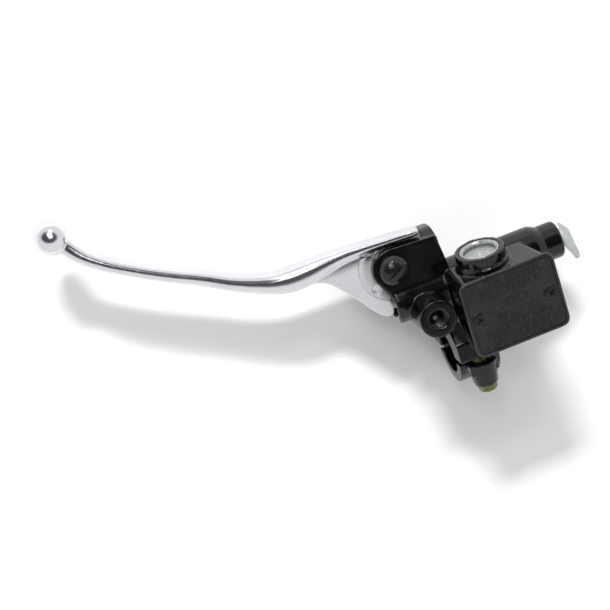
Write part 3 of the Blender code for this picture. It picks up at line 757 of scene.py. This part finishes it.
def make_lever():
    lever = object_from("lever_fine", loft(bar_rings()))
    half_turn = np.linspace(0, math.pi, 49)
    half_circle = [(BALL_R * math.sin(a), -BALL_R * math.cos(a)) for a in half_turn]
    ball = object_from("ball", lathe(half_circle, BALL, (0, 0, 1), 96))
    web = object_from("web", slab(web_outline(), -WEB_HALF, WEB_HALF))
    tongue = object_from("tongue", slab(tongue_outline(), -TONGUE_HALF, TONGUE_HALF))
    combine(lever, "UNION", [ball, web, tongue])
    soften(lever, 0.32, 14)
    low, high = node_box("lever_pusher_pad")
    pad_r = (high.x - low.x) / 2
    base = (*node_middle("lever_pusher_pad").xy, 0)
    pocket_r = pad_r + GAP
    pocket = [(0, low.z - GAP), (pocket_r, low.z - GAP), (pocket_r, high.z + GAP), (0, high.z + GAP)]
    cuts = ring_cutters() + [object_from("pocket", lathe(pocket, base, (0, 0, 1), 64))] + lever_holes()
    combine(lever, "DIFFERENCE", cuts)
    finish_piece(lever, ALUMINIUM, "lever_aluminium", "lever", "brake_lever", sharp=30)
    pin = eased([(0, high.z), (pad_r, high.z), (pad_r, low.z), (0, low.z)], 0.6, closed=False)
    pad = object_from("pusher_pad_fine", lathe(pin, base, (0, 0, 1), 64))
    finish_piece(pad, NYLON, "nylon", "lever", "lever_pusher_pad")


def make_pivot_screw():
    low, high = node_box("pivot_screw")
    top = high.z
    angles = np.radians(np.linspace(0, 80, 17))
    crown = [(PIVOT_HEAD_R * math.sin(a), top - 4.6 + 4.6 * math.cos(a)) for a in angles]
    head = [(PIVOT_HEAD_R, top - 4.4), (PIVOT_HEAD_R, top - 5.5), (7.1, top - 5.7)]
    shank = [(4.0, top - 5.7), (4.0, low.z + 0.6), (3.4, low.z), (0, low.z)]
    screw = object_from("pivot_screw_fine", lathe(crown + head + shank, (*PIVOT.xy, 0), (0, 0, 1), 96))
    slot = block((-9, -0.7, top - 1.4), (9, 0.7, top + 2))
    turned = Matrix.Rotation(math.radians(PIVOT_SLOT_TURN), 4, "Z")
    slot.transform(Matrix.Translation((*PIVOT.xy, 0)) @ turned)
    combine(screw, "DIFFERENCE", [object_from("slot", slot)])
    finish_piece(bevel(screw, 0.2, 3), PIVOT_BLACK, "black_steel", "cylinder", "pivot_screw")


def make_pivot_nut():
    low, high = node_box("pivot_nut")
    base = (*PIVOT.xy, 0)
    nut = object_from("pivot_nut_fine", slab(hexagon(PIVOT_NUT_R, 90), low.z, high.z))
    nut.data.transform(Matrix.Translation((PIVOT.x * MM, PIVOT.y * MM, 0)))
    dome = [(0, low.z), (5.9, low.z), (7.3, low.z + 0.8), (7.3, high.z - 0.5), (6.6, high.z), (0, high.z)]
    combine(nut, "INTERSECT", [object_from("dome", lathe(dome, base, (0, 0, 1), 96))])
    hole = [(0, low.z - 1), (5.4, low.z - 1), (4.3, low.z + 0.5), (4.3, high.z + 1), (0, high.z + 1)]
    combine(nut, "DIFFERENCE", [object_from("hole", lathe(hole, base, (0, 0, 1), 64))])
    finish_piece(bevel(nut, 0.12, 2), PLATED, "plated_steel", "cylinder", "pivot_nut")


# ---------------------------------------------------------------- in and round the bore

def make_plug():
    """The shipping plug: a ribbed stem with a thin pull tab."""
    start = node_box("hose_port_plug")[0].x
    port_end = node_box("master_cylinder_body")[1].x
    stem = [(0, start), (3.3, start), (4.0, start + 1.0)]
    for i in range(3):
        x = start + 1.6 + 2.2 * i
        stem += [(4.0, x), (4.25, x + 0.5), (4.25, x + 1.0), (3.9, x + 1.3)]
    stem += [(4.1, port_end - 1), (4.2, port_end + 2.2), (3.9, port_end + 2.7), (0, port_end + 2.7)]
    plug = object_from("hose_plug_fine", lathe(stem, (0, BARREL_Y, 0), (1, 0, 0), 64))
    tab = [(61.8, 42.6), (66.2, 37.2), (68.5, 22.2), (67.9, 20.9), (66.2, 20.4), (61.9, 29.6)]
    tab_piece = object_from("tab", slab(eased(tab, 1.2), -0.6, 0.6))
    combine(plug, "UNION", [bevel(tab_piece, 0.25, 2)])
    finish_piece(plug, PLUG, "clear_plastic", "cylinder", "hose_port_plug")


def make_dust_boot():
    """A thin rubber boot whose lip closes round the piston."""
    low, high = node_box("dust_boot")
    outer = [
        (8.2, high.x), (8.2, -18.0), (7.6, -18.6), (6.7, -18.9),
        (6.0, -19.4), (5.5, -20.2), (5.2, -21.2), (4.9, low.x),
    ]
    inner = [
        (4.0, low.x), (3.95, -21.0), (4.2, -20.2), (4.7, -19.2), (5.4, -18.4), (6.3, -17.6), (6.8, high.x),
    ]
    boot = object_from("dust_boot_fine", lathe(outer + inner, (0, BARREL_Y, 0), (1, 0, 0), 72))
    boot.data.materials.append(RUBBER)
    boot.data.shade_smooth()
    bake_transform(boot)
    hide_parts("dust_boot")


def make_spring():
    low, high = node_box("return_spring")
    wire = 0.45
    radius = (high.y - low.y) / 2 - wire
    turns = np.linspace(0, 2 * math.pi, 14, endpoint=False)
    section = [(wire * math.cos(a), wire * math.sin(a)) for a in turns]
    coil = helix((0, BARREL_Y, 0), (1, 0, 0), low.x + wire, high.x - wire, radius, 9, section, 32, 0.11)
    spring = object_from("return_spring_fine", coil)
    finish_piece(spring, SPRING_STEEL, "plated_steel", "cylinder", "return_spring", sharp=60)
    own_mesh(spring)


def finish_cad_nodes():
    """CAD nodes whose shape is final take a finished surface."""
    surfaces = {
        "piston": PLATED, "primary_cup": RUBBER, "secondary_cup": RUBBER, "spring_seat": PLATED,
        "piston_stop_washer": PLATED, "circlip": SPRING_STEEL, "reservoir_diaphragm": RUBBER,
        "diaphragm_plate": PLATED, "splash_plate": PLATED, "pivot_bush": BRONZE,
    }
    for name, surface in surfaces.items():
        for place in NODES[name].material_slots:
            place.material = surface


# ---------------------------------------------------------------- camera, lights, floor

def make_camera():
    back = CAMERA_BACK.normalized()
    right = CAMERA_UP.cross(back).normalized()
    up = back.cross(right)
    turn = Matrix((right, up, back)).transposed().to_4x4()
    data = bpy.data.cameras.new("camera")
    data.lens = CAMERA_FOCAL_MM
    data.sensor_width = 36
    camera = bpy.data.objects.new("camera", data)
    camera.matrix_world = Matrix.Translation(CAMERA_PLACE * MM) @ turn
    bpy.context.scene.collection.objects.link(camera)
    bpy.context.scene.camera = camera


def area_light(name, place, target, size, power):
    data = bpy.data.lights.new(name, "AREA")
    data.shape = "RECTANGLE"
    data.size = size[0] * MM
    data.size_y = size[1] * MM
    data.energy = power
    light = bpy.data.objects.new(name, data)
    light.location = Vector(place) * MM
    aim = (Vector(target) - Vector(place)).to_track_quat("-Z", "Y")
    light.rotation_euler = aim.to_euler()
    bpy.context.scene.collection.objects.link(light)
    return light


def dark_ceiling(tree):
    """How far a direction is inside the studio's dark opening overhead, 0 to 1."""
    middle = Vector((-0.03, 0.24, 0.97)).normalized()
    right = Vector((0.9264, -0.3145, 0.2071)).normalized()
    up = middle.cross(right).normalized()
    place = tree.nodes.new("ShaderNodeTexCoord")
    total = None
    for axis, reach in ((right, 0.80), (up, 0.62)):
        along = node(tree, "ShaderNodeVectorMath")
        along.operation = "DOT_PRODUCT"
        along.inputs[1].default_value = axis / reach
        tree.links.new(place.outputs["Generated"], along.inputs[0])
        square = tree.nodes.new("ShaderNodeMath")
        square.operation = "MULTIPLY"
        tree.links.new(along.outputs["Value"], square.inputs[0])
        tree.links.new(along.outputs["Value"], square.inputs[1])
        if total:
            both = tree.nodes.new("ShaderNodeMath")
            both.operation = "ADD"
            tree.links.new(total, both.inputs[0])
            tree.links.new(square.outputs["Value"], both.inputs[1])
            total = both.outputs["Value"]
        else:
            total = square.outputs["Value"]
    inside = ranged(tree, total, 1.0, 0.0, 0.75, 1.15)
    parts = tree.nodes.new("ShaderNodeSeparateXYZ")
    tree.links.new(place.outputs["Generated"], parts.inputs["Vector"])
    above = ranged(tree, parts.outputs["Z"], 0.0, 1.0, 0.0, 0.1)
    share = tree.nodes.new("ShaderNodeMath")
    share.operation = "MULTIPLY"
    tree.links.new(inside, share.inputs[0])
    tree.links.new(above, share.inputs[1])
    return share.outputs["Value"]


def make_studio():
    world = bpy.data.worlds.new("studio")
    world.use_nodes = True
    tree = world.node_tree
    background = tree.nodes["Background"]
    background.inputs["Strength"].default_value = 1.0
    mix = tree.nodes.new("ShaderNodeMix")
    mix.data_type = "RGBA"
    mix.inputs[6].default_value = (0.90, 0.90, 0.91, 1)
    mix.inputs[7].default_value = (0.055, 0.058, 0.068, 1)
    tree.links.new(dark_ceiling(tree), mix.inputs[0])
    tree.links.new(mix.outputs[2], background.inputs["Color"])
    bpy.context.scene.world = world
    key = area_light("key", (-160, 2560, 1540), (-60, 60, 0), (600, 200), 88)
    key.visible_glossy = False
    area_light("overhead", (-110, 590, 900), (-110, 90, 0), (420, 700), 2.2)
    area_light("lamp", (240, 1560, 1260), (-60, 60, 0), (250, 200), 5.0)
    area_light("softbox", (-170, 480, 700), (-100, 90, 0), (120, 90), 0.5)
    bpy.context.scene.view_settings.view_transform = "Standard"


def make_floor():
    bm = bmesh.new()
    bmesh.ops.create_grid(bm, x_segments=2, y_segments=2, size=3.0)
    mesh = bpy.data.meshes.new("floor")
    bm.to_mesh(mesh)
    bm.free()
    floor = bpy.data.objects.new("floor", mesh)
    floor.location = (0, 0, (FLOOR_Z - 0.4) * MM)
    bpy.context.scene.collection.objects.link(floor)
    made = bpy.data.materials.new("floor")
    made.use_nodes = True
    shader = made.node_tree.nodes["Principled BSDF"]
    shader.inputs["Base Color"].default_value = (0.9, 0.9, 0.9, 1)
    shader.inputs["Roughness"].default_value = 0.7
    floor.data.materials.append(made)


make_camera()
make_studio()
make_floor()
make_body()
make_clamp_cap()
make_clamp_bolts()
make_cover()
make_cover_screws()
make_sight_glass()
make_lever()
make_pivot_screw()
make_pivot_nut()
make_plug()
make_dust_boot()
make_spring()
finish_cad_nodes()
